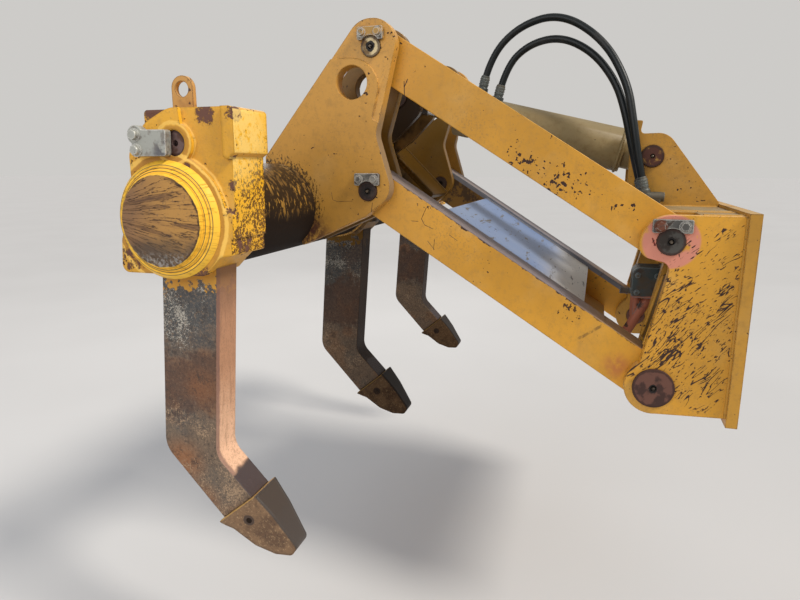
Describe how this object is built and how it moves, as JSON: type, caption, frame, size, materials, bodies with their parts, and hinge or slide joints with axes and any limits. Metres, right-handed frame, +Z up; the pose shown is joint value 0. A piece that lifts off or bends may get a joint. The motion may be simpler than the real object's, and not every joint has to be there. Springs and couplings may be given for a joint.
{
  "type": "crawler tractor rear ripper",
  "caption": "Rear ripper for a crawler tractor: curved shanks with pointed teeth in a round cross beam, carried on a parallelogram linkage with a lift cylinder and a bolt-on bracket.",
  "frame": {"origin": "centre of the bracket's bolting face, where it meets the tractor's rear case", "axes": "+X towards the tractor's right side along the beam, +Y forward into the tractor, +Z up"},
  "size_m": [2.216, 1.5254, 1.5097],
  "materials": {
    "yellow_paint": "worn satin paint with rust chips",
    "yellow_casting": "worn satin paint on a rough casting",
    "forged_rust": "matt, rusted and polished by earth",
    "tooth_steel": "matt rust with bright wear",
    "rusty_steel": "matt orange rust",
    "pin_steel": "dark, greasy",
    "zinc_steel": "dull galvanised",
    "bare_plate": "bare, scoured steel",
    "oily_steel": "oily dirt over paint",
    "hydraulic_steel": "dark painted steel",
    "chrome_rod": "polished",
    "hose_rubber": "matt"
  },
  "bodies": {
    "beam": {"beam_end_cap_left": "yellow_paint", "beam_end_cap_right": "yellow_paint", "beam_front_plates": "yellow_paint", "beam_inner_plate_left": "yellow_paint", "beam_inner_plate_right": "yellow_paint", "beam_lower_pins": "pin_steel", "beam_outer_plate_left": "yellow_paint", "beam_outer_plate_right": "yellow_paint", "beam_pin_keepers": "zinc_steel", "beam_tube_left": "yellow_paint", "beam_tube_right": "yellow_paint", "beam_upper_pins": "pin_steel", "cylinder_lug_left": "yellow_paint", "cylinder_lug_right": "yellow_paint", "lifting_eyes": "rusty_steel", "rod_pin_ends": "pin_steel", "shank_centre": "forged_rust", "shank_left": "forged_rust", "shank_pin_retainers": "zinc_steel", "shank_pins": "pin_steel", "shank_pocket_centre": "yellow_casting", "shank_pocket_left": "yellow_casting", "shank_pocket_right": "yellow_casting", "shank_right": "forged_rust", "tooth_centre": "tooth_steel", "tooth_left": "tooth_steel", "tooth_right": "tooth_steel"},
    "bracket": {"bracket_inner_ear_left": "yellow_paint", "bracket_inner_ear_right": "yellow_paint", "bracket_lower_pins": "pin_steel", "bracket_outer_ear_left": "yellow_paint", "bracket_outer_ear_right": "yellow_paint", "bracket_pin_keepers": "zinc_steel", "bracket_rear_plate": "oily_steel", "bracket_side_webs": "yellow_paint", "bracket_top_plate": "yellow_paint", "bracket_upper_pins": "pin_steel", "cylinder_base_pin": "pin_steel", "cylinder_tower_ear_left": "yellow_paint", "cylinder_tower_ear_right": "yellow_paint", "hose_base_side": "hose_rubber", "hose_fittings": "hydraulic_steel", "hose_rod_side": "hose_rubber", "hydraulic_flange": "hydraulic_steel", "mounting_plate": "yellow_paint"},
    "barrel": {"cylinder_port_fittings": "hydraulic_steel", "lift_cylinder_barrel": "yellow_paint"},
    "rod": {"lift_cylinder_rod": "chrome_rod", "rod_pin_centre": "pin_steel"},
    "lower_link": {"lower_link_arm_left": "yellow_paint", "lower_link_arm_right": "yellow_paint", "lower_link_bottom": "yellow_paint", "lower_link_deck": "bare_plate", "lower_link_diaphragms": "yellow_paint"},
    "upper_link_left": {"upper_link_left": "yellow_paint"},
    "upper_link_right": {"upper_link_right": "yellow_paint"}
  },
  "joints": [
    {"name": "lift", "type": "hinge", "parent": "bracket", "child": "lower_link", "pos_m": [0, -0.219, -0.2], "axis": [1, 0, 0], "range_deg": [0, 59]},
    {"name": "beam_level", "type": "hinge", "parent": "lower_link", "child": "beam", "pos_m": [0, -1.06426, 0.33435], "axis": [1, 0, 0], "range_deg": [-59, 0]},
    {"name": "upper_right_swing", "type": "hinge", "parent": "bracket", "child": "upper_link_right", "pos_m": [0, -0.207, 0.211], "axis": [1, 0, 0], "range_deg": [0, 59]},
    {"name": "upper_left_swing", "type": "hinge", "parent": "bracket", "child": "upper_link_left", "pos_m": [0, -0.207, 0.211], "axis": [1, 0, 0], "range_deg": [0, 59]},
    {"name": "cylinder_swing", "type": "hinge", "parent": "bracket", "child": "barrel", "pos_m": [0, -0.24, 0.44], "axis": [1, 0, 0], "range_deg": [0, 53.6]},
    {"name": "rod_slide", "type": "slide", "parent": "barrel", "child": "rod", "axis": [0, -0.9726, 0.2323], "range_m": [0, 0.307]}
  ],
  "couplings": [
    {"joint": "beam_level", "follows": "lift", "ratio": -1},
    {"joint": "upper_right_swing", "follows": "lift", "ratio": 1},
    {"joint": "upper_left_swing", "follows": "lift", "ratio": 1},
    {"joint": "cylinder_swing", "follows": "lift", "ratio": 0.90754},
    {"joint": "rod_slide", "follows": "lift", "m_per_rad": 0.29776}
  ]
}
